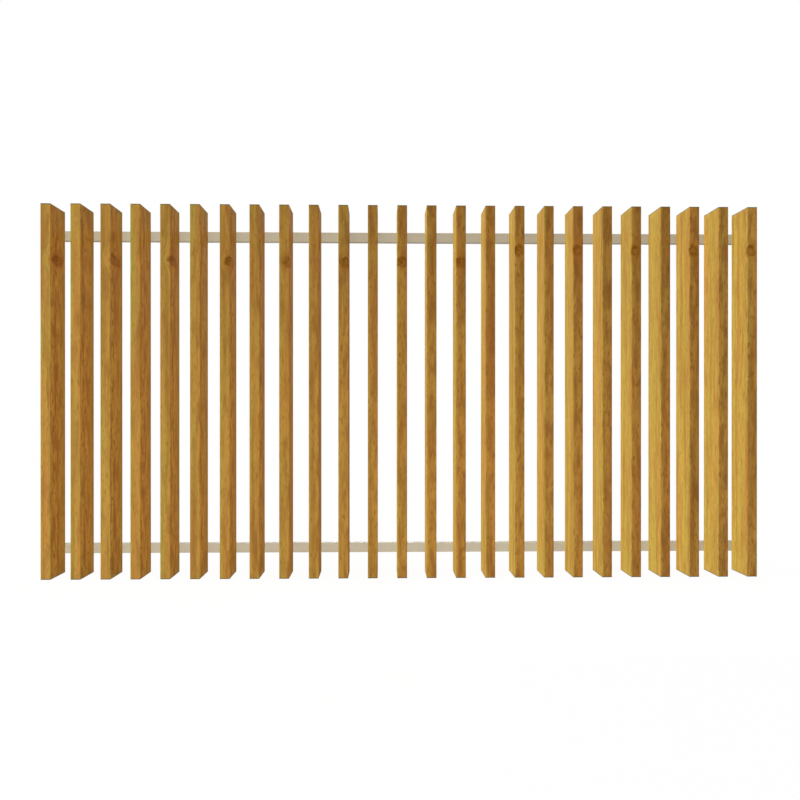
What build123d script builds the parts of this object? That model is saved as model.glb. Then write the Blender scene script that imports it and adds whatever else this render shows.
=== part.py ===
from build123d import *
import os

# Blade fence panel: deep hollow blades stand side by side, fixed to two channel rails that run behind them.
# Millimetres. +Z is up and the blades face -Y. The origin is on the ground, in the middle of the panel.

# Panel
blade_count = 25
blade_spacing = 75.0
panel_height = 950.0

# Blade, a hollow extrusion with its narrow side to the front
blade_width = 25.0
blade_depth = 100.0
blade_wall = 1.6
blade_arris = 0.6
screw_pad_width = 11.0
screw_pad_thickness = 1.6

# End cap, pushed into both ends of every blade
cap_plate = 2.0
spigot_length = 12.0
spigot_wall = 1.5
spigot_clearance = 0.2

# Rail, a lipped channel that is open to the rear
rail_height = 25.0
rail_depth = 20.0
rail_wall = 2.0
rail_lip = 5.0
rail_arris = 0.5
rail_inset = 50.0

# Self-drilling screw with a hexagon head. The shank is as thick as its thread is halfway up the flanks.
# It drills its own holes, and has few sides, as there are so many of them
head_across_flats = 8.0
head_height = 4.0
shank_radius = 2.1
shank_length = 16.0
shank_sides = 8
point_length = 4.0
point_radius = 0.4
drill_clearance = 0.05

# Places worked out from the sizes above
panel_width = (blade_count - 1) * blade_spacing + blade_width
blade_places = [(number - (blade_count - 1) / 2) * blade_spacing for number in range(blade_count)]
blade_front = -(blade_depth + rail_depth) / 2
blade_middle = blade_front + blade_depth / 2
blade_back = blade_front + blade_depth
blade_length = panel_height - 2 * cap_plate
screw_wall = blade_wall + screw_pad_thickness
web_back = blade_back + rail_wall
hole_radius = shank_radius + drill_clearance
bottom_rail_level = rail_inset + rail_height / 2
top_rail_level = panel_height - bottom_rail_level

# The spigot fills the hollow from the front wall to the screw pad
spigot_width = blade_width - 2 * (blade_wall + spigot_clearance)
spigot_depth = blade_depth - blade_wall - screw_wall - 2 * spigot_clearance
spigot_front = blade_front + blade_wall + spigot_clearance

os.makedirs("parts", exist_ok=True)

# The outer section of a blade, which its caps repeat
with BuildSketch() as blade_outline:
    Rectangle(blade_width, blade_depth)
    chamfer(blade_outline.vertices(), blade_arris)

# Blade, with a hole through its thick back wall for each rail's screw
with BuildPart() as blade:
    with BuildSketch(Plane.XY.offset(cap_plate)):
        with Locations((0, blade_middle)):
            add(blade_outline.sketch)
            Rectangle(blade_width - 2 * blade_wall, blade_depth - 2 * blade_wall, mode=Mode.SUBTRACT)
        with Locations((0, blade_back - screw_wall)):
            Rectangle(screw_pad_width, screw_pad_thickness, align=(Align.CENTER, Align.MIN))
    extrude(amount=blade_length)
    with BuildSketch(Plane.XZ.offset(-blade_back)):
        with Locations((0, bottom_rail_level), (0, top_rail_level)):
            RegularPolygon(hole_radius, shank_sides)
    extrude(amount=screw_wall, mode=Mode.SUBTRACT)

# End cap the way up it has on a blade's top end, with its seat at height 0
with BuildPart() as cap:
    with BuildSketch():
        with Locations((0, blade_middle)):
            add(blade_outline.sketch)
    extrude(amount=cap_plate)
    chamfer(cap.faces().sort_by(Axis.Z)[-1].edges(), blade_arris)
    with BuildSketch():
        with Locations((0, spigot_front + spigot_depth / 2)):
            Rectangle(spigot_width, spigot_depth)
            Rectangle(spigot_width - 2 * spigot_wall, spigot_depth - 2 * spigot_wall, mode=Mode.SUBTRACT)
    extrude(amount=-spigot_length)

# Screw along -Y, with the underside of its head at the origin
with BuildPart() as screw:
    with BuildSketch(Plane.XZ):
        RegularPolygon(head_across_flats / 2, 6, major_radius=False)
    extrude(amount=-head_height)
    with BuildSketch(Plane.XZ):
        RegularPolygon(shank_radius, shank_sides)
    extrude(amount=shank_length - point_length)
    with BuildSketch(Plane.XZ.offset(shank_length - point_length)):
        RegularPolygon(shank_radius, shank_sides)
    with BuildSketch(Plane.XZ.offset(shank_length)):
        RegularPolygon(point_radius, shank_sides)
    loft()

# Blades and the caps on their top ends, numbered from the left
for number, x in enumerate(blade_places, start=1):
    with BuildPart() as standing_blade:
        with Locations((x, 0, 0)):
            add(blade.part)
    standing_blade.part.label = f"blade_{number:02d}"
    export_step(standing_blade.part, f"parts/blade_{number:02d}.step")

    with BuildPart() as top_cap:
        with Locations((x, 0, panel_height - cap_plate)):
            add(cap.part)
    top_cap.part.label = f"top_cap_{number:02d}"
    export_step(top_cap.part, f"parts/top_cap_{number:02d}.step")

# The same cap upside down in every bottom end
with BuildPart() as bottom_caps:
    with Locations(*[Location((x, 0, cap_plate), (0, 180, 0)) for x in blade_places]):
        add(cap.part)
bottom_caps.part.label = "bottom_caps"
export_step(bottom_caps.part, "parts/bottom_caps.step")

# Rails with their web against the blades, and their screws from inside the channel
for name, level in (("bottom_rail", bottom_rail_level), ("top_rail", top_rail_level)):
    with BuildPart() as rail:
        with BuildSketch(Plane.YZ.offset(-panel_width / 2)) as channel:
            with Locations((blade_back + rail_depth / 2, level)):
                Rectangle(rail_depth, rail_height)
                chamfer(channel.vertices(), rail_arris)
                Rectangle(rail_depth - 2 * rail_wall, rail_height - 2 * rail_wall, mode=Mode.SUBTRACT)
            with Locations((web_back, level)):
                Rectangle(
                    rail_depth - rail_wall,
                    rail_height - 2 * rail_lip,
                    align=(Align.MIN, Align.CENTER),
                    mode=Mode.SUBTRACT,
                )
        extrude(amount=panel_width)
        with BuildSketch(Plane.XZ.offset(-blade_back)):
            with Locations(*[(x, level) for x in blade_places]):
                RegularPolygon(hole_radius, shank_sides)
        extrude(amount=-rail_wall, mode=Mode.SUBTRACT)
    rail.part.label = name
    export_step(rail.part, f"parts/{name}.step")

    with BuildPart() as rail_screws:
        with Locations(*[(x, web_back, level) for x in blade_places]):
            add(screw.part)
    rail_screws.part.label = f"{name}_screws"
    export_step(rail_screws.part, f"parts/{name}_screws.step")
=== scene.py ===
import math

import bmesh
import bpy
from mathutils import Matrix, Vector


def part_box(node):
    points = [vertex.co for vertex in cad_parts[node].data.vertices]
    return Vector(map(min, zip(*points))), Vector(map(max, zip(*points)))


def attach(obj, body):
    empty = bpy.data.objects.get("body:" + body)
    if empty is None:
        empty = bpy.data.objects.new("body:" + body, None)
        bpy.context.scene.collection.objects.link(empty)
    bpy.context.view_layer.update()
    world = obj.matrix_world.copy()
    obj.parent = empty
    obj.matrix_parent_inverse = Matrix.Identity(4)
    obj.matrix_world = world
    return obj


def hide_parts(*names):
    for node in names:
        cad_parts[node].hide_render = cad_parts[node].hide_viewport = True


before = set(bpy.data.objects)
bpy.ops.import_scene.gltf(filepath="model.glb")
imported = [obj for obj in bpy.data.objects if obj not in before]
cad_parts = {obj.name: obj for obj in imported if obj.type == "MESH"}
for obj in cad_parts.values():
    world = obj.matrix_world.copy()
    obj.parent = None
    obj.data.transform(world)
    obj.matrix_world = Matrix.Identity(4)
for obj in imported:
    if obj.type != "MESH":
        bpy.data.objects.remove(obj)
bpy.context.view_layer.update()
panelBody = "root"

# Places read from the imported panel, in metres
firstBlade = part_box("blade_01")
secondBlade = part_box("blade_02")
panel = {
    "bladeCount": sum(name.startswith("blade_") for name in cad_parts),
    "spacing": secondBlade[0].x - firstBlade[0].x,
    "bladeWidth": firstBlade[1].x - firstBlade[0].x,
    "bladeFront": firstBlade[0].y,
    "firstMiddle": (firstBlade[0].x + firstBlade[1].x) / 2,
}
print("frame loaded:", panel["bladeCount"], "blades")


def displayColour(red, green, blue):
    # a colour as a screen shows it, 0 to 255, as the linear colour that nodes take
    shares = [value / 255 for value in (red, green, blue)]
    return tuple(s / 12.92 if s <= 0.04045 else ((s + 0.055) / 1.055) ** 2.4 for s in shares) + (1.0,)


def feed(tree, socket, value):
    # a link when the value comes out of a node, or else the socket's own number
    if isinstance(value, bpy.types.NodeSocket):
        tree.links.new(value, socket)
    else:
        socket.default_value = value


def calculate(tree, operation, *values, clamp=False):
    node = tree.nodes.new("ShaderNodeMath")
    node.operation = operation
    node.use_clamp = clamp
    for socket, value in zip(node.inputs, values):
        feed(tree, socket, value)
    return node.outputs[0]


def stepUp(tree, value, low, high, lowValue=0.0, highValue=1.0):
    # from lowValue to highValue, with a soft start and end
    node = tree.nodes.new("ShaderNodeMapRange")
    node.interpolation_type = "SMOOTHSTEP"
    for socket, number in zip(node.inputs, (value, low, high, lowValue, highValue)):
        feed(tree, socket, number)
    return node.outputs[0]


def mixColour(tree, share, first, second, blend="MIX"):
    node = tree.nodes.new("ShaderNodeMix")
    node.data_type = "RGBA"
    node.blend_type = blend
    feed(tree, node.inputs[0], share)
    feed(tree, node.inputs[6], first)
    feed(tree, node.inputs[7], second)
    return node.outputs[2]


def ownPlace(tree):
    return tree.nodes.new("ShaderNodeTexCoord").outputs["Object"]


def splitPlace(tree):
    # the object's own coordinates, whole and as three values
    place = ownPlace(tree)
    parts = tree.nodes.new("ShaderNodeSeparateXYZ")
    tree.links.new(place, parts.inputs[0])
    return place, parts.outputs[0], parts.outputs[1], parts.outputs[2]


def joinPlace(tree, x, y, z):
    node = tree.nodes.new("ShaderNodeCombineXYZ")
    for socket, value in zip(node.inputs, (x, y, z)):
        feed(tree, socket, value)
    return node.outputs[0]


def noise(tree, vector, scale=1.0, detail=2.0, roughness=0.5):
    node = tree.nodes.new("ShaderNodeTexNoise")
    feed(tree, node.inputs["Vector"], vector)
    node.inputs["Scale"].default_value = scale
    node.inputs["Detail"].default_value = detail
    node.inputs["Roughness"].default_value = roughness
    return node.outputs["Fac"]


nodeSpacing = {"column": 240, "row": 190}  # in the node editor


def arrangeNodes(tree):
    # columns of nodes from the output leftwards, so that the tree can be read in the editor
    column = {}

    def visit(node, number):
        if column.get(node.name, -1) >= number:
            return
        column[node.name] = number
        for socket in node.inputs:
            for link in socket.links:
                visit(link.from_node, number + 1)

    for node in tree.nodes:
        if not any(socket.links for socket in node.outputs):
            visit(node, 0)
    filled = {}
    for node in tree.nodes:
        number = column.get(node.name, 0)
        row = filled.get(number, 0)
        node.location = (-nodeSpacing["column"] * number, -nodeSpacing["row"] * row)
        filled[number] = row + 1


def newMaterial(name, roughness=0.5, metallic=0.0):
    material = bpy.data.materials.new(name)
    material.use_nodes = True
    tree = material.node_tree
    shader = tree.nodes["Principled BSDF"]
    shader.inputs["Roughness"].default_value = roughness
    shader.inputs["Metallic"].default_value = metallic
    return material, tree, shader


def addBump(tree, shader, height, depth):
    node = tree.nodes.new("ShaderNodeBump")
    node.inputs["Distance"].default_value = depth
    tree.links.new(height, node.inputs["Height"])
    tree.links.new(node.outputs[0], shader.inputs["Normal"])


def newGroup(name, inputs, outputs):
    # a shader node group with named inputs and outputs
    tree = bpy.data.node_groups.new(name, "ShaderNodeTree")
    for label, kind, value in inputs:
        socket = tree.interface.new_socket(label, in_out="INPUT", socket_type=kind)
        if value is not None:
            socket.default_value = value
    for label, kind in outputs:
        tree.interface.new_socket(label, in_out="OUTPUT", socket_type=kind)
    return tree, tree.nodes.new("NodeGroupInput"), tree.nodes.new("NodeGroupOutput")


def useGroup(tree, group, **values):
    # places a group, with a value or a link for each of its inputs
    node = tree.nodes.new("ShaderNodeGroup")
    node.node_tree = group
    for label, value in values.items():
        feed(tree, node.inputs[label], value)
    return node


# Streaks that run one way: the grain of the print and the die lines of an extrusion. A slow noise, of this
# length along them and this scale across them, lets them drift sideways
streakSizes = {"driftLength": 0.35, "driftAcross": 6.0, "driftDetail": 1.0, "detail": 2.5}


def makeStreakGroup():
    number = "NodeSocketFloat"
    tree, given, result = newGroup(
        "streaks",
        [
            ("Across", number, 0.0),
            ("Along", number, 0.0),
            ("Width", number, 0.01),
            ("Length", number, 0.4),
            ("Wander", number, 0.0),
            ("Seed", number, 0.0),
        ],
        [("Streak", number)],
    )
    slowAlong = calculate(tree, "DIVIDE", given.outputs["Along"], streakSizes["driftLength"])
    slowAcross = calculate(tree, "MULTIPLY", given.outputs["Across"], streakSizes["driftAcross"])
    slowPlace = joinPlace(tree, slowAcross, slowAlong, given.outputs["Seed"])
    drift = noise(tree, slowPlace, detail=streakSizes["driftDetail"])
    centred = calculate(tree, "SUBTRACT", drift, 0.5)
    shift = calculate(tree, "MULTIPLY", centred, given.outputs["Wander"])
    across = calculate(tree, "ADD", given.outputs["Across"], shift)
    acrossSteps = calculate(tree, "DIVIDE", across, given.outputs["Width"])
    alongSteps = calculate(tree, "DIVIDE", given.outputs["Along"], given.outputs["Length"])
    streakPlace = joinPlace(tree, acrossSteps, alongSteps, given.outputs["Seed"])
    streak = noise(tree, streakPlace, detail=streakSizes["detail"])
    tree.links.new(streak, result.inputs["Streak"])
    arrangeNodes(tree)
    return tree


# Fine dust and handling marks, as a mask
handlingSizes = {"detail": 5.0, "roughness": 0.6, "share": (0.42, 0.72)}


def makeHandlingGroup():
    number = "NodeSocketFloat"
    tree, given, result = newGroup(
        "handlingMarks",
        [("Vector", "NodeSocketVector", None), ("Size", number, 0.05), ("Seed", number, 0.0)],
        [("Mask", number)],
    )
    scaled = tree.nodes.new("ShaderNodeVectorMath")
    scaled.operation = "SCALE"
    tree.links.new(given.outputs["Vector"], scaled.inputs[0])
    tree.links.new(calculate(tree, "DIVIDE", 1.0, given.outputs["Size"]), scaled.inputs["Scale"])
    moved = tree.nodes.new("ShaderNodeVectorMath")
    tree.links.new(scaled.outputs[0], moved.inputs[0])
    tree.links.new(given.outputs["Seed"], moved.inputs[1])
    detail, roughness = handlingSizes["detail"], handlingSizes["roughness"]
    cloud = noise(tree, moved.outputs[0], detail=detail, roughness=roughness)
    tree.links.new(stepUp(tree, cloud, *handlingSizes["share"]), result.inputs["Mask"])
    arrangeNodes(tree)
    return tree


streakGroup = makeStreakGroup()
handlingGroup = makeHandlingGroup()


def handlingMask(tree, place, coat):
    node = useGroup(tree, handlingGroup, Vector=place, Size=coat["markSize"], Seed=coat["markSeed"])
    return node.outputs["Mask"]


# Wood-grain print of the blades: its colours, some of them painted light and shade, and its coat
woodPrint = {
    "gold": displayColour(195, 146, 66),
    "straw": displayColour(176, 159, 67),
    "amber": displayColour(192, 134, 60),
    "olive": displayColour(164, 121, 50),
    "brown": displayColour(163, 129, 63),
    # painted shade, duller and darker towards the rear of the right sides
    "rearSideShade": displayColour(173, 141, 76),
    "russet": displayColour(164, 98, 48),
    "figure": displayColour(140, 90, 38),
    # painted shade for the fronts, darker to the right as the light falls off
    "fallingLightShade": displayColour(225, 216, 208),
    # painted shade for the left sides, darker towards their front
    "paintedLeftSideShade": displayColour(243, 238, 243),
    "knot": displayColour(108, 62, 0),
    "halo": displayColour(156, 96, 30),
    "strawMost": 0.68,
    "amberLessOnStraw": 0.45,
    "flecksEverywhere": 0.3,
    "seedStep": 3.71,  # from one blade to the next
    "specular": 0.04,  # a matt coat
    "roughness": 0.74,
    "fineRoughness": 0.16,
    "markRoughness": 0.06,
    "markSize": 0.06,
    "markSeed": 2.0,
    "hairHeight": 0.5,  # beside the fine streaks
    "bumpDepth": 0.00012,
}

# Streaks of the print: width, length and wander in metres, and seed
printStreaks = {
    "broad": (0.020, 0.60, 0.012, 0.0),
    "bands": (0.009, 0.45, 0.012, 5.3),
    "fine": (0.0026, 0.16, 0.012, 11.9),
    "hair": (0.0009, 0.05, 0.002, 17.7),
    "patch": (0.030, 0.42, 0.012, 23.1),
    "figure": (0.013, 0.08, 0.020, 29.7),
    "mottle": (0.012, 0.060, 0.010, 43.9),
    "flecks": (0.004, 0.016, 0.008, 37.3),
}
widerOnSide = {"mottle": 0.008, "flecks": 0.006}  # how much wider they are on the right side

# How much of a colour a streak brings: the streak, its value where the share starts to change and where it
# stops, and the share before and after
streakShares = {
    "straw": ("bands", 0.38, 0.62, -0.05, 0.60),
    "amber": ("broad", 0.50, 0.64, 0.0, 0.90),
    "olive": ("broad", 0.50, 0.34, 0.0, 0.75),
    "russet": ("patch", 0.52, 0.70, 0.0, 0.50),
    "figure": ("figure", 0.50, 0.66, 0.0, 0.85),
    "mottle": ("mottle", 0.40, 0.74, 0.0, 0.80),
    "flecks": ("flecks", 0.50, 0.72, 0.0, 0.95),
    "fine": ("fine", 0.50, 0.70, 0.0, 0.42),
    "hair": ("hair", 0.55, 0.75, 0.0, 0.22),
}

# How a share changes round the blade, by the metres from the front right arris: below zero on the front and
# the left side, above zero on the right side
roundBlade = {
    # painted light: the left side, where the light falls, gets most of the yellower straw tone, the right
    # side least
    "straw": (-0.036, -0.006, 0.84, -0.10),
    "onFront": (-0.028, -0.018, 0.0, 1.0),
    # painted shade, growing towards the rear of the right side
    "rearSideShade": (-0.002, 0.11, 0.0, 0.50),
    "figure": (-0.03, 0.03, 0.35, 1.0),
    "livelySide": (-0.004, 0.016, 0.30, 1.25),
    "livelyFront": (-0.036, -0.022, 0.45, 1.0),
    # painted shade: brown growing towards the rear of the right side, on a faint brown everywhere else
    "brown": (0.02, 0.10, 0.12, 0.60),
    # painted shade, darker towards the front of the left side
    "leftSide": (-0.085, -0.030, 0.0, 1.0),
}

# How a share changes along the panel, by the metres from its middle
alongPanel = {
    "plainer": (-0.6, 0.4, 0.0, 0.5),
    "lively": (-0.6, 0.4, 0.30, 1.0),
    # painted shade on the fronts, growing to the right as the light falls off, and taken away on the last
    # blades
    "later": (-0.80, 0.25, 0.0, 1.0),
    "last": (0.72, 0.94, 0.0, 1.0),
}

# Knots, on every other blade, in metres
knots = {
    "height": 0.804,
    "heightRight": 0.836,  # on the blades of the right half, past changeOver
    "changeOver": 0.225,
    "rise": 0.17,  # how far a knot lies higher for each metre that it lies back on the side
    "halfHeight": 0.017,
    "halfWidth": 0.0185,
    "sideHalfWidth": 0.099,  # on the right side of a blade in the panel's middle
    "sideWidening": 0.060,  # for each metre along the panel
    "sideHalfWidthMost": 0.059,
}

# Where knots lie round the blade, in their own half widths from the arris: the change for each metre along
# the panel, and the place on a blade in the panel's middle
knotPlaces = {"early": (-2.00, -0.72), "late": (-0.36, -0.66)}

# What a knot looks like, in its own half widths and half heights. Four numbers are where a share starts and
# stops to change, and the share before and after
knotLooks = {
    "roughScale": 1.7,
    "roughDetail": 4.0,
    "evenerOnSide": 0.4,
    "grainPull": (0.4, 2.8, 0.7, 0.0),
    "ringRadius": 0.55,
    "ring": (0.04, 0.50, 0.95, 0.0),
    "slopeUp": 0.7,
    "slope": (-0.9, 0.7, 0.50, 1.0),
    "crumbScale": 2.6,
    "crumbSeed": 7.0,
    "crumbs": (0.38, 0.56, 0.60, 1.0),
    "eyeStart": 0.30,
    "eyeEnd": 0.95,
    "eyeShare": 0.20,
    "eyeMoreOnSide": 0.16,
    "spotShiftRight": -0.34,  # on the blades of the right half
    "markShare": 0.90,
}

# Blots at a knot: middle, half width and half height, and how the share changes from the middle outwards
knotBlots = {
    "tail": ((0.45, -0.45), (0.36, 0.45), (0.2, 1.0, 0.60, 0.0)),
    "spot": ((-0.14, 0.05), (0.36, 0.44), (0.2, 1.0, 0.88, 0.0)),
    "halo": ((0.1, 0.1), (1.1, 2.1), (0.3, 1.2, 0.48, 0.0)),
    "smudge": ((0.6, -0.4), (0.7, 1.0), (0.1, 1.1, 0.40, 0.0)),
}

pinMarks = {"wide": 0.028, "tall": 0.11, "share": (0.03, 0.11, 0.40, 0.0)}


def placeOnBlade(tree):
    # which blade it is, and the place round its section and up it
    place, x, y, z = splitPlace(tree)
    fromFirst = calculate(tree, "SUBTRACT", x, panel["firstMiddle"])
    number = calculate(tree, "ROUND", calculate(tree, "DIVIDE", fromFirst, panel["spacing"]))
    middle = calculate(tree, "MULTIPLY_ADD", number, panel["spacing"], panel["firstMiddle"])
    beside = calculate(tree, "SUBTRACT", x, middle)
    behind = calculate(tree, "SUBTRACT", y, panel["bladeFront"])
    across = calculate(tree, "MULTIPLY_ADD", behind, calculate(tree, "SIGN", beside), beside)
    across = calculate(tree, "SUBTRACT", across, panel["bladeWidth"] / 2)
    return {
        "place": place,
        "middle": middle,
        "across": across,
        "up": z,
        "onSide": calculate(tree, "GREATER_THAN", across, 0.0),
        "rightHalf": calculate(tree, "GREATER_THAN", middle, knots["changeOver"]),
        "hasKnot": calculate(tree, "SUBTRACT", 1.0, calculate(tree, "MODULO", number, 2.0)),
        "seed": calculate(tree, "MULTIPLY", number, woodPrint["seedStep"]),
    }


def placeOnKnot(tree, at):
    # the place from the middle of this blade's knot, which lies on the right side of the first blades and
    # further round to the front on each next one. On the side it is wider, as if cut lengthwise
    sideWide = calculate(tree, "MULTIPLY_ADD", at["middle"], knots["sideWidening"], knots["sideHalfWidth"])
    sideWide = calculate(tree, "MINIMUM", sideWide, knots["sideHalfWidthMost"])
    extra = calculate(tree, "SUBTRACT", sideWide, knots["halfWidth"])
    wide = calculate(tree, "MULTIPLY_ADD", at["onSide"], extra, knots["halfWidth"])
    early = calculate(tree, "MULTIPLY_ADD", at["middle"], *knotPlaces["early"])
    late = calculate(tree, "MULTIPLY_ADD", at["middle"], *knotPlaces["late"])
    knotAcross = calculate(tree, "MAXIMUM", early, late)
    lift = knots["heightRight"] - knots["height"]
    height = calculate(tree, "MULTIPLY_ADD", at["rightHalf"], lift, knots["height"])
    roundSide = calculate(tree, "MAXIMUM", calculate(tree, "MULTIPLY", knotAcross, sideWide), 0.0)
    height = calculate(tree, "MULTIPLY_ADD", roundSide, knots["rise"], height)
    knotX = calculate(tree, "SUBTRACT", calculate(tree, "DIVIDE", at["across"], wide), knotAcross)
    knotY = calculate(tree, "DIVIDE", calculate(tree, "SUBTRACT", at["up"], height), knots["halfHeight"])
    return {"knotX": knotX, "knotY": knotY, "knotWide": wide}


def knotWobble(tree, at):
    # makes the knot's outlines uneven, less so on the side
    place = joinPlace(tree, at["knotX"], at["knotY"], at["seed"])
    rough = noise(tree, place, scale=knotLooks["roughScale"], detail=knotLooks["roughDetail"])
    unevenness = calculate(tree, "MULTIPLY_ADD", at["onSide"], -knotLooks["evenerOnSide"], 1.0)
    return calculate(tree, "MULTIPLY", calculate(tree, "SUBTRACT", rough, 0.5), unevenness)


def reach(tree, at, x0=0.0, y0=0.0, wide=1.0, tall=1.0):
    # distance from a point near the knot's middle, in sizes of an oval there
    a = calculate(tree, "DIVIDE", calculate(tree, "SUBTRACT", at["knotX"], x0), wide)
    b = calculate(tree, "DIVIDE", calculate(tree, "SUBTRACT", at["knotY"], y0), tall)
    squares = calculate(tree, "MULTIPLY_ADD", a, a, calculate(tree, "MULTIPLY", b, b))
    return calculate(tree, "ADD", calculate(tree, "SQRT", squares), at["wobble"])


def blot(tree, at, name, shift=None):
    (x0, y0), (wide, tall), share = knotBlots[name]
    if shift is not None:
        x0 = calculate(tree, "ADD", shift, x0)
    return stepUp(tree, reach(tree, at, x0, y0, wide, tall), *share)


def grainPlace(tree, at):
    # the place across the grain, which parts round the knot
    pulled = stepUp(tree, at["radius"], *knotLooks["grainPull"])
    pulled = calculate(tree, "MULTIPLY", pulled, at["hasKnot"])
    fromKnot = calculate(tree, "MULTIPLY", at["knotX"], at["knotWide"])
    return calculate(tree, "SUBTRACT", at["across"], calculate(tree, "MULTIPLY", fromKnot, pulled))


def printStreak(tree, at, name):
    width, length, wander, seed = printStreaks[name]
    if name in widerOnSide:
        width = calculate(tree, "MULTIPLY_ADD", at["onSide"], widerOnSide[name], width)
    node = useGroup(
        tree,
        streakGroup,
        Across=at["grain"],
        Along=at["up"],
        Width=width,
        Length=length,
        Wander=wander,
        Seed=calculate(tree, "ADD", at["seed"], seed),
    )
    return node.outputs["Streak"]


def paintGrain(tree, at, streaks):
    # the print without its knots, with painted light and shade: yellower on the left side, where the light
    # falls, and browner on the right side towards the rear, as painted shade
    def fromStreak(name):
        streak, *steps = streakShares[name]
        return stepUp(tree, streaks[streak], *steps)

    def onBlade(name):
        return stepUp(tree, at["across"], *roundBlade[name])

    def onPanel(name):
        return stepUp(tree, at["middle"], *alongPanel[name])

    front = onBlade("onFront")
    # painted light: more of the yellower straw tone on the left side, where the light falls; the straw bands
    # are grain
    straw = calculate(tree, "MINIMUM", onBlade("straw"), woodPrint["strawMost"])
    straw = calculate(tree, "ADD", straw, fromStreak("straw"), clamp=True)
    plainer = calculate(tree, "MULTIPLY", front, onPanel("plainer"))
    straw = calculate(tree, "MULTIPLY", straw, calculate(tree, "SUBTRACT", 1.0, plainer))
    colour = mixColour(tree, straw, woodPrint["gold"], woodPrint["straw"])
    amber = calculate(tree, "MULTIPLY_ADD", straw, -woodPrint["amberLessOnStraw"], 1.0)
    amber = calculate(tree, "MULTIPLY", amber, fromStreak("amber"))
    colour = mixColour(tree, amber, colour, woodPrint["amber"])
    colour = mixColour(tree, fromStreak("olive"), colour, woodPrint["olive"])
    colour = mixColour(tree, fromStreak("russet"), colour, woodPrint["russet"])
    # painted shade, duller and darker towards the rear of the right side
    colour = mixColour(tree, onBlade("rearSideShade"), colour, woodPrint["rearSideShade"])

    # dark figure, mottle and flecks, liveliest on the right side and in the panel's right half
    figured = calculate(tree, "MULTIPLY", fromStreak("figure"), onBlade("figure"))
    lively = calculate(tree, "MAXIMUM", onBlade("livelySide"), onPanel("lively"))
    lively = calculate(tree, "MULTIPLY", lively, onBlade("livelyFront"))
    mottled = calculate(tree, "MULTIPLY", lively, fromStreak("mottle"))
    everywhere = woodPrint["flecksEverywhere"]
    flecked = calculate(tree, "MULTIPLY_ADD", lively, 1.0 - everywhere, everywhere)
    flecked = calculate(tree, "MULTIPLY", flecked, fromStreak("flecks"))
    for share in (figured, mottled, flecked):
        colour = mixColour(tree, share, colour, woodPrint["figure"])
    # the fine and hair streaks are grain; the brown round the blade is painted shade towards the rear of the
    # right side
    for share in (fromStreak("fine"), fromStreak("hair"), onBlade("brown")):
        colour = mixColour(tree, share, colour, woodPrint["brown"])

    # painted shade: darker on the fronts, growing to the right as the light falls off but for the last
    # blades, and darker towards the front on the left sides
    paintedShadeAlongPanel = calculate(tree, "SUBTRACT", onPanel("later"), onPanel("last"))
    paintedShadeOnFronts = calculate(tree, "MULTIPLY", paintedShadeAlongPanel, front)
    colour = mixColour(tree, paintedShadeOnFronts, colour, woodPrint["fallingLightShade"], "MULTIPLY")
    # painted shade on the left sides, darker towards their front
    leftSide = calculate(tree, "LESS_THAN", at["across"], -panel["bladeWidth"])
    leftSide = calculate(tree, "MULTIPLY", onBlade("leftSide"), leftSide)
    return mixColour(tree, leftSide, colour, woodPrint["paintedLeftSideShade"], "MULTIPLY")


def paintKnot(tree, at, colour):
    # a broken ring that is darkest at its upper left, an eye, a dark spot, a tail at the lower right and a
    # brown halo. The blades between have only a faint smudge at about that height
    ring = calculate(tree, "ABSOLUTE", calculate(tree, "SUBTRACT", at["radius"], knotLooks["ringRadius"]))
    ring = stepUp(tree, ring, *knotLooks["ring"])
    slope = calculate(tree, "MULTIPLY", at["knotY"], knotLooks["slopeUp"])
    slope = calculate(tree, "SUBTRACT", slope, at["knotX"])
    ring = calculate(tree, "MULTIPLY", ring, stepUp(tree, slope, *knotLooks["slope"]))
    crumbSeed = calculate(tree, "ADD", at["seed"], knotLooks["crumbSeed"])
    crumbPlace = joinPlace(tree, at["knotX"], at["knotY"], crumbSeed)
    crumbs = noise(tree, crumbPlace, scale=knotLooks["crumbScale"])
    ring = calculate(tree, "MULTIPLY", ring, stepUp(tree, crumbs, *knotLooks["crumbs"]))
    eyeShare = calculate(
        tree, "MULTIPLY_ADD", at["onSide"], knotLooks["eyeMoreOnSide"], knotLooks["eyeShare"]
    )
    eye = stepUp(tree, at["radius"], knotLooks["eyeStart"], knotLooks["eyeEnd"], eyeShare, 0.0)
    spotShift = calculate(tree, "MULTIPLY", at["rightHalf"], knotLooks["spotShiftRight"])
    mark = ring
    for part in (blot(tree, at, "tail"), blot(tree, at, "spot", spotShift), eye):
        mark = calculate(tree, "MAXIMUM", mark, part)
    mark = calculate(tree, "MULTIPLY", mark, at["hasKnot"])
    mark = calculate(tree, "MULTIPLY", mark, knotLooks["markShare"])
    halo = calculate(tree, "MULTIPLY", blot(tree, at, "halo"), at["hasKnot"])
    colour = mixColour(tree, halo, colour, woodPrint["halo"])
    colour = mixColour(tree, mark, colour, woodPrint["knot"])
    hasNone = calculate(tree, "SUBTRACT", 1.0, at["hasKnot"])
    smudge = calculate(tree, "MULTIPLY", blot(tree, at, "smudge"), hasNone)
    return mixColour(tree, smudge, colour, woodPrint["russet"])


def paintPins(tree, at, colour):
    # a few small dark marks on every blade
    pinX = calculate(tree, "DIVIDE", at["across"], pinMarks["wide"])
    pinY = calculate(tree, "DIVIDE", at["up"], pinMarks["tall"])
    pins = tree.nodes.new("ShaderNodeTexVoronoi")
    pins.inputs["Scale"].default_value = 1.0
    tree.links.new(joinPlace(tree, pinX, pinY, at["seed"]), pins.inputs["Vector"])
    pin = stepUp(tree, pins.outputs["Distance"], *pinMarks["share"])
    return mixColour(tree, pin, colour, woodPrint["knot"])


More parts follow.
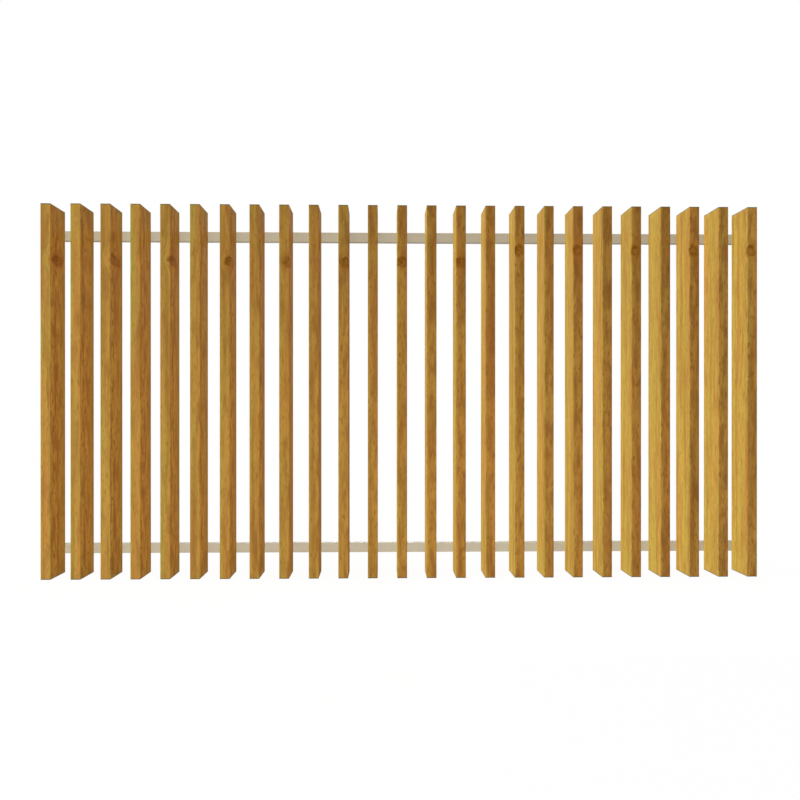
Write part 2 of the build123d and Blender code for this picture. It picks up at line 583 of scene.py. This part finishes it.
def makeBladeFinish():
    material, tree, shader = newMaterial("bladeWoodPrint")
    shader.inputs["Specular IOR Level"].default_value = woodPrint["specular"]
    at = placeOnBlade(tree)
    at.update(placeOnKnot(tree, at))
    at["wobble"] = knotWobble(tree, at)
    at["radius"] = reach(tree, at)
    at["grain"] = grainPlace(tree, at)
    streaks = {name: printStreak(tree, at, name) for name in printStreaks}
    colour = paintGrain(tree, at, streaks)
    colour = paintKnot(tree, at, colour)
    colour = paintPins(tree, at, colour)
    tree.links.new(colour, shader.inputs["Base Color"])
    marks = handlingMask(tree, at["place"], woodPrint)
    roughness, fineRoughness = woodPrint["roughness"], woodPrint["fineRoughness"]
    rough = calculate(tree, "MULTIPLY_ADD", streaks["fine"], fineRoughness, roughness)
    rough = calculate(tree, "MULTIPLY_ADD", marks, woodPrint["markRoughness"], rough)
    tree.links.new(rough, shader.inputs["Roughness"])
    height = calculate(tree, "MULTIPLY_ADD", streaks["hair"], woodPrint["hairHeight"], streaks["fine"])
    addBump(tree, shader, height, woodPrint["bumpDepth"])
    arrangeNodes(tree)
    return material


railCoat = {
    "champagne": displayColour(193, 192, 178),
    "shade": displayColour(180, 177, 162),
    "specular": 0.08,
    "dieLineWidth": 0.0008,
    "dieLineLength": 0.60,
    "dieLineSeed": 4.0,
    "dieLineShare": (0.40, 0.70, 0.0, 0.55),
    "markSize": 0.09,
    "markSeed": 8.0,
    "markShare": 0.35,
    "roughness": 0.46,
    "dieLineRoughness": 0.18,
    "markRoughness": 0.10,
    "bumpDepth": 0.00005,
}


def makeRailCoat():
    material, tree, shader = newMaterial("railChampagneCoat")
    shader.inputs["Specular IOR Level"].default_value = railCoat["specular"]
    place, x, y, z = splitPlace(tree)
    roundSection = calculate(tree, "ADD", y, z)  # changes across every face of the rail
    lines = useGroup(
        tree,
        streakGroup,
        Across=roundSection,
        Along=x,
        Width=railCoat["dieLineWidth"],
        Length=railCoat["dieLineLength"],
        Wander=0.0,
        Seed=railCoat["dieLineSeed"],
    ).outputs["Streak"]
    marks = handlingMask(tree, place, railCoat)
    lineShare = stepUp(tree, lines, *railCoat["dieLineShare"])
    markShare = calculate(tree, "MULTIPLY", marks, railCoat["markShare"])
    colour = mixColour(tree, lineShare, railCoat["champagne"], railCoat["shade"])
    colour = mixColour(tree, markShare, colour, railCoat["shade"])
    tree.links.new(colour, shader.inputs["Base Color"])
    rough = calculate(tree, "MULTIPLY_ADD", lines, railCoat["dieLineRoughness"], railCoat["roughness"])
    rough = calculate(tree, "MULTIPLY_ADD", marks, railCoat["markRoughness"], rough)
    tree.links.new(rough, shader.inputs["Roughness"])
    addBump(tree, shader, lines, railCoat["bumpDepth"])
    arrangeNodes(tree)
    return material


capPlastic = {
    "base": displayColour(94, 82, 46),
    "scuffed": displayColour(116, 102, 64),
    "specular": 0.15,
    "grainSize": 0.0006,
    "markSize": 0.02,
    "markSeed": 14.0,
    "markShare": 0.5,
    "roughness": 0.60,
    "grainRoughness": 0.20,
    "bumpDepth": 0.00008,
}


def makeCapPlastic():
    material, tree, shader = newMaterial("capMouldedPlastic")
    shader.inputs["Specular IOR Level"].default_value = capPlastic["specular"]
    place = ownPlace(tree)
    grain = noise(tree, place, scale=1 / capPlastic["grainSize"])
    marks = handlingMask(tree, place, capPlastic)
    markShare = calculate(tree, "MULTIPLY", marks, capPlastic["markShare"])
    colour = mixColour(tree, markShare, capPlastic["base"], capPlastic["scuffed"])
    tree.links.new(colour, shader.inputs["Base Color"])
    rough = calculate(tree, "MULTIPLY_ADD", grain, capPlastic["grainRoughness"], capPlastic["roughness"])
    tree.links.new(rough, shader.inputs["Roughness"])
    addBump(tree, shader, grain, capPlastic["bumpDepth"])
    arrangeNodes(tree)
    return material


screwZinc = {
    "zinc": displayColour(196, 198, 200),
    "passivated": displayColour(206, 200, 172),
    "cloudScale": 420.0,
    "cloudDetail": 3.0,
    "passivatedShare": (0.35, 0.70),
    "markSize": 0.004,
    "markSeed": 21.0,
    "roughness": 0.26,
    "markRoughness": 0.22,
}


def makeScrewZinc():
    material, tree, shader = newMaterial("screwZincPlate", metallic=1.0)
    place = ownPlace(tree)
    cloud = noise(tree, place, scale=screwZinc["cloudScale"], detail=screwZinc["cloudDetail"])
    marks = handlingMask(tree, place, screwZinc)
    passivated = stepUp(tree, cloud, *screwZinc["passivatedShare"])
    colour = mixColour(tree, passivated, screwZinc["zinc"], screwZinc["passivated"])
    tree.links.new(colour, shader.inputs["Base Color"])
    rough = calculate(tree, "MULTIPLY_ADD", marks, screwZinc["markRoughness"], screwZinc["roughness"])
    tree.links.new(rough, shader.inputs["Roughness"])
    arrangeNodes(tree)
    return material


def wearMaterial(piece, material):
    piece.data.materials.clear()
    piece.data.materials.append(material)


bladeFinish = makeBladeFinish()
railFinish = makeRailCoat()
capFinish = makeCapPlastic()
screwFinish = makeScrewZinc()
for name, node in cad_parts.items():
    if name.startswith("blade_"):
        wearMaterial(node, bladeFinish)
    elif "cap" in name:
        wearMaterial(node, capFinish)
    elif name.endswith("_rail"):
        wearMaterial(node, railFinish)
print("finishes on the blades, caps and rails")


# Self-drilling screw with a flanged hexagon head, drawn along -Y from the underside of its flange
screwSizes = {
    "acrossFlats": 0.008,
    "headHeight": 0.004,
    "flangeRadius": 0.0053,
    "flangeRim": 0.0005,
    "flangeHeight": 0.0011,
    "chamferHeight": 0.0006,
    "dishRadius": 0.0026,
    "dishDepth": 0.0005,
    "shankRadius": 0.0018,
    "tipRadius": 0.00015,
    "threadRadius": 0.0024,
    "threadPitch": 0.0014,
    "threadWidth": 0.0009,
    "threadStart": -0.0012,
    "shankLength": 0.016,
    "pointLength": 0.004,
    "sides": 36,
    "threadSteps": 14,
    "fadeSteps": 6,
    "sameVertex": 1e-7,
    "firstTurnSeed": 3,
}

# Radii of the screw as shares of another of its radii
screwShares = {
    "flangeTop": 0.86,  # of the flange
    "headCorner": 1.16,  # of half the width across flats, as are the next two
    "chamferMiddle": 1.06,
    "headTop": 0.94,
    "dishFloor": 0.82,  # of the dish
    "threadRoot": 0.96,  # of the shank
}


def hexagonRadius(angle, flatRadius):
    # distance from the middle to a hexagon's side in that direction
    sixth = math.radians(60)
    return flatRadius / math.cos((angle % sixth) - sixth / 2)


def addScrewBody(mesh):
    sizes, shares = screwSizes, screwShares
    flat = sizes["acrossFlats"] / 2
    top = sizes["headHeight"]
    shoulder = top - sizes["chamferHeight"]
    flangeTop = sizes["flangeRadius"] * shares["flangeTop"]
    corner = flat * shares["headCorner"]

    # each ring is a height, a round radius, and whether the hexagon cuts it
    rings = [
        (-sizes["shankLength"], sizes["tipRadius"], False),
        (-sizes["shankLength"] + sizes["pointLength"], sizes["shankRadius"], False),
        (0.0, sizes["shankRadius"], False),
        (0.0, sizes["flangeRadius"], False),
        (sizes["flangeRim"], sizes["flangeRadius"], False),
        (sizes["flangeHeight"], flangeTop, False),
        (sizes["flangeHeight"], corner, True),
        (shoulder, corner, True),
        (shoulder + sizes["chamferHeight"] * 0.5, flat * shares["chamferMiddle"], True),
        (top, flat * shares["headTop"], True),
        (top, sizes["dishRadius"], False),
        (top - sizes["dishDepth"], sizes["dishRadius"] * shares["dishFloor"], False),
    ]
    angles = [math.tau * step / sizes["sides"] for step in range(sizes["sides"])]
    loops = []
    for height, radius, hexagon in rings:
        loop = []
        for angle in angles:
            reach = min(radius, hexagonRadius(angle, flat)) if hexagon else radius
            loop.append(mesh.verts.new((reach * math.cos(angle), height, reach * math.sin(angle))))
        loops.append(loop)
    for lower, upper in zip(loops, loops[1:]):
        for step in range(sizes["sides"]):
            following = (step + 1) % sizes["sides"]
            mesh.faces.new((lower[step], lower[following], upper[following], upper[step]))
    mesh.faces.new(loops[0])
    mesh.faces.new(loops[-1])


def addScrewThread(mesh):
    # a wedge that winds round the shank and fades out at both ends
    sizes = screwSizes
    start = sizes["threadStart"]
    length = sizes["shankLength"] - sizes["pointLength"] + start
    steps = int(length / sizes["threadPitch"] * sizes["threadSteps"])
    root = sizes["shankRadius"] * screwShares["threadRoot"]
    half = sizes["threadWidth"] / 2
    previous = None
    for step in range(steps + 1):
        angle = math.tau * step / sizes["threadSteps"]
        middle = start - length * step / steps
        fade = min(1.0, step / sizes["fadeSteps"], (steps - step) / sizes["fadeSteps"])
        crest = sizes["shankRadius"] + (sizes["threadRadius"] - sizes["shankRadius"]) * fade
        section = [
            mesh.verts.new((radius * math.cos(angle), middle + rise, radius * math.sin(angle)))
            for radius, rise in ((root, half), (crest, 0.0), (root, -half))
        ]
        if previous:
            for corner in range(3):
                after = (corner + 1) % 3
                mesh.faces.new((previous[corner], previous[after], section[after], section[corner]))
        else:
            mesh.faces.new(section)
        previous = section
    mesh.faces.new(previous)


def makeScrewMesh():
    mesh = bmesh.new()
    addScrewBody(mesh)
    addScrewThread(mesh)
    bmesh.ops.remove_doubles(mesh, verts=mesh.verts, dist=screwSizes["sameVertex"])
    bmesh.ops.recalc_face_normals(mesh, faces=mesh.faces)
    data = bpy.data.meshes.new("screw")
    mesh.to_mesh(data)
    mesh.free()
    return data


def makeScrewRowTree():
    # a straight row of one screw, each turned at random about its own axis
    tree = bpy.data.node_groups.new("screwRow", "GeometryNodeTree")
    inputs = [
        ("Screw", "NodeSocketObject"),
        ("Count", "NodeSocketInt"),
        ("First Place", "NodeSocketVector"),
        ("Spacing", "NodeSocketVector"),
        ("Turn Seed", "NodeSocketInt"),
        ("Finish", "NodeSocketMaterial"),
    ]
    for label, kind in inputs:
        tree.interface.new_socket(label, in_out="INPUT", socket_type=kind)
    tree.interface.new_socket("Geometry", in_out="OUTPUT", socket_type="NodeSocketGeometry")
    given = tree.nodes.new("NodeGroupInput")
    result = tree.nodes.new("NodeGroupOutput")
    line = tree.nodes.new("GeometryNodeMeshLine")
    screw = tree.nodes.new("GeometryNodeObjectInfo")
    turn = tree.nodes.new("FunctionNodeRandomValue")
    turn.data_type = "FLOAT_VECTOR"
    turn.inputs[0].default_value = (0.0, 0.0, 0.0)
    turn.inputs[1].default_value = (0.0, math.radians(60), 0.0)
    place = tree.nodes.new("GeometryNodeInstanceOnPoints")
    realize = tree.nodes.new("GeometryNodeRealizeInstances")
    finish = tree.nodes.new("GeometryNodeSetMaterial")
    links = [
        (given.outputs["Count"], line.inputs["Count"]),
        (given.outputs["First Place"], line.inputs["Start Location"]),
        (given.outputs["Spacing"], line.inputs["Offset"]),
        (given.outputs["Screw"], screw.inputs["Object"]),
        (given.outputs["Turn Seed"], turn.inputs["Seed"]),
        (line.outputs["Mesh"], place.inputs["Points"]),
        (screw.outputs["Geometry"], place.inputs["Instance"]),
        (turn.outputs[0], place.inputs["Rotation"]),
        (place.outputs["Instances"], realize.inputs["Geometry"]),
        (realize.outputs["Geometry"], finish.inputs["Geometry"]),
        (given.outputs["Finish"], finish.inputs["Material"]),
        (finish.outputs["Geometry"], result.inputs["Geometry"]),
    ]
    for source, target in links:
        tree.links.new(source, target)
    arrangeNodes(tree)
    return tree


def growMesh(name, tree, values):
    # runs a geometry tree once and keeps its result as a plain mesh
    holder = bpy.data.objects.new(name, bpy.data.meshes.new(name))
    bpy.context.scene.collection.objects.link(holder)
    modifier = holder.modifiers.new("grow", "NODES")
    modifier.node_group = tree
    for socket in tree.interface.items_tree:
        if socket.in_out == "INPUT" and socket.name in values:
            modifier[socket.identifier] = values[socket.name]
    view = bpy.context.evaluated_depsgraph_get()
    grown = bpy.data.meshes.new_from_object(holder.evaluated_get(view))
    holder.modifiers.remove(modifier)
    holder.data = grown
    return holder


def makeScrewRows():
    template = bpy.data.objects.new("screwTemplate", makeScrewMesh())
    rowTree = makeScrewRowTree()
    for number, rail in enumerate(("bottom_rail", "top_rail")):
        low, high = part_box(rail + "_screws")
        values = {
            "Screw": template,
            "Count": panel["bladeCount"],
            "First Place": (
                panel["firstMiddle"],
                high.y - screwSizes["headHeight"],
                (low.z + high.z) / 2,
            ),
            "Spacing": (panel["spacing"], 0.0, 0.0),
            "Turn Seed": screwSizes["firstTurnSeed"] + number,
            "Finish": screwFinish,
        }
        row = growMesh(rail + "_flanged_screws", rowTree, values)
        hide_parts(rail + "_screws")
        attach(row, panelBody)
        print(row.name, len(row.data.polygons), "faces")
    bpy.data.objects.remove(template)


makeScrewRows()


white = (1.0, 1.0, 1.0, 1.0)


def seenDirectly(tree):
    # 1 where the camera, a mirror or a glass looks, and 0 for the light that a surface gathers
    path = tree.nodes.new("ShaderNodeLightPath")
    seen = calculate(tree, "ADD", path.outputs["Is Camera Ray"], path.outputs["Is Glossy Ray"])
    return calculate(tree, "ADD", seen, path.outputs["Is Transmission Ray"], clamp=True)


# White floor. Seen directly it is close to white, and keeps a faint shadow
floorSizes = {"reach": 40.0, "level": -0.0002, "glow": 0.93, "bounce": 0.30, "roughness": 0.9}


def makeFloor():
    material, tree, shader = newMaterial("floorWhite", roughness=floorSizes["roughness"])
    shader.inputs["Specular IOR Level"].default_value = 0.0
    seen = seenDirectly(tree)
    dim = (floorSizes["bounce"],) * 3 + (1.0,)
    tree.links.new(mixColour(tree, seen, dim, white), shader.inputs["Base Color"])
    glow = tree.nodes.new("ShaderNodeEmission")
    mix = tree.nodes.new("ShaderNodeMixShader")
    tree.links.new(calculate(tree, "MULTIPLY", seen, floorSizes["glow"]), mix.inputs[0])
    tree.links.new(shader.outputs[0], mix.inputs[1])
    tree.links.new(glow.outputs[0], mix.inputs[2])
    tree.links.new(mix.outputs[0], tree.nodes["Material Output"].inputs["Surface"])
    arrangeNodes(tree)
    reach = floorSizes["reach"]
    corners = [(x * reach, y * reach, floorSizes["level"]) for x, y in ((-1, -1), (1, -1), (1, 1), (-1, 1))]
    data = bpy.data.meshes.new("floor")
    data.from_pydata(corners, [], [(0, 1, 2, 3)])
    floor = bpy.data.objects.new("floor", data)
    bpy.context.scene.collection.objects.link(floor)
    wearMaterial(floor, material)


worldLight = {"ambient": 0.29, "tint": (1.0, 0.97, 0.95, 1.0)}


def makeWorld():
    # white where it is seen, and a weaker, warmer light on what it shines on
    world = bpy.data.worlds.new("whiteStudio")
    bpy.context.scene.world = world
    world.use_nodes = True
    tree = world.node_tree
    gathered = tree.nodes["Background"]
    gathered.inputs["Color"].default_value = worldLight["tint"]
    gathered.inputs["Strength"].default_value = worldLight["ambient"]
    backdrop = tree.nodes.new("ShaderNodeBackground")
    backdrop.inputs["Color"].default_value = white
    mix = tree.nodes.new("ShaderNodeMixShader")
    tree.links.new(seenDirectly(tree), mix.inputs[0])
    tree.links.new(gathered.outputs[0], mix.inputs[1])
    tree.links.new(backdrop.outputs[0], mix.inputs[2])
    tree.links.new(mix.outputs[0], tree.nodes["World Output"].inputs["Surface"])
    arrangeNodes(tree)


# Each lamp is where its light comes from, its strength, its softness in degrees,
# and whether the blades shade each other in it
sunDistance = 5.0
sunLamps = {
    "leftLamp": ((-0.98, -0.10, 0.15), 2.58, 20.0, False),
    "rightLamp": ((0.98, -0.10, 0.15), 0.50, 20.0, False),
    "topLamp": ((-0.10, -0.10, 1.0), 1.2, 30.0, True),
    "backLamp": ((0.0, 0.95, 0.35), 1.3, 20.0, True),
}

# Each lamp in front is its place, what it points at, its size and its power in watts. They cast no shadow
frontLamps = {
    "frontLamp": ((-2.3, -1.6, 0.32), (-0.3, 0.0, 0.45), 0.8, 33.0),
    "highLamp": ((0.72, -0.54, 1.14), (0.72, 0.0, 0.94), 0.5, 0.62),
    "lowLamp": ((0.25, -0.75, 0.0), (0.25, 0.0, 0.05), 0.8, 5.2),
}


def aimLamp(name, kind, place, aim):
    data = bpy.data.lights.new(name, kind)
    lamp = bpy.data.objects.new(name, data)
    bpy.context.scene.collection.objects.link(lamp)
    lamp.visible_camera = False
    lamp.location = place
    lamp.rotation_euler = (Vector(aim) - Vector(place)).to_track_quat("-Z", "Y").to_euler()
    return data


def makeLamps():
    for name, (source, strength, softness, shades) in sunLamps.items():
        lamp = aimLamp(name, "SUN", Vector(source).normalized() * sunDistance, (0.0, 0.0, 0.0))
        lamp.energy = strength
        lamp.angle = math.radians(softness)
        lamp.use_shadow = shades
    for name, (place, aim, size, power) in frontLamps.items():
        lamp = aimLamp(name, "AREA", place, aim)
        lamp.size = size
        lamp.energy = power
        lamp.use_shadow = False


# Camera at the photograph's place: about the middle of the panel's height, a little left of its middle
cameraSizes = {
    "place": (-0.0508, -2.2236, 0.4331),
    "towardsRight": 1.3209,  # degrees that it is turned to the panel's right end
    "down": 0.0666,  # degrees that it looks down
    "lens": 38.25,  # millimetres, as is the sensor
    "sensor": 36.0,
    "shift": (-0.00233, 0.01146),
}


def makeCamera():
    data = bpy.data.cameras.new("camera")
    camera = bpy.data.objects.new("camera", data)
    bpy.context.scene.collection.objects.link(camera)
    camera.location = cameraSizes["place"]
    camera.rotation_euler = (
        math.radians(90 - cameraSizes["down"]),
        0.0,
        -math.radians(cameraSizes["towardsRight"]),
    )
    data.sensor_width = cameraSizes["sensor"]
    data.lens = cameraSizes["lens"]
    data.shift_x, data.shift_y = cameraSizes["shift"]
    bpy.context.scene.camera = camera


makeFloor()
makeWorld()
makeLamps()
makeCamera()
bpy.context.scene.view_settings.view_transform = "Standard"
print("studio ready")
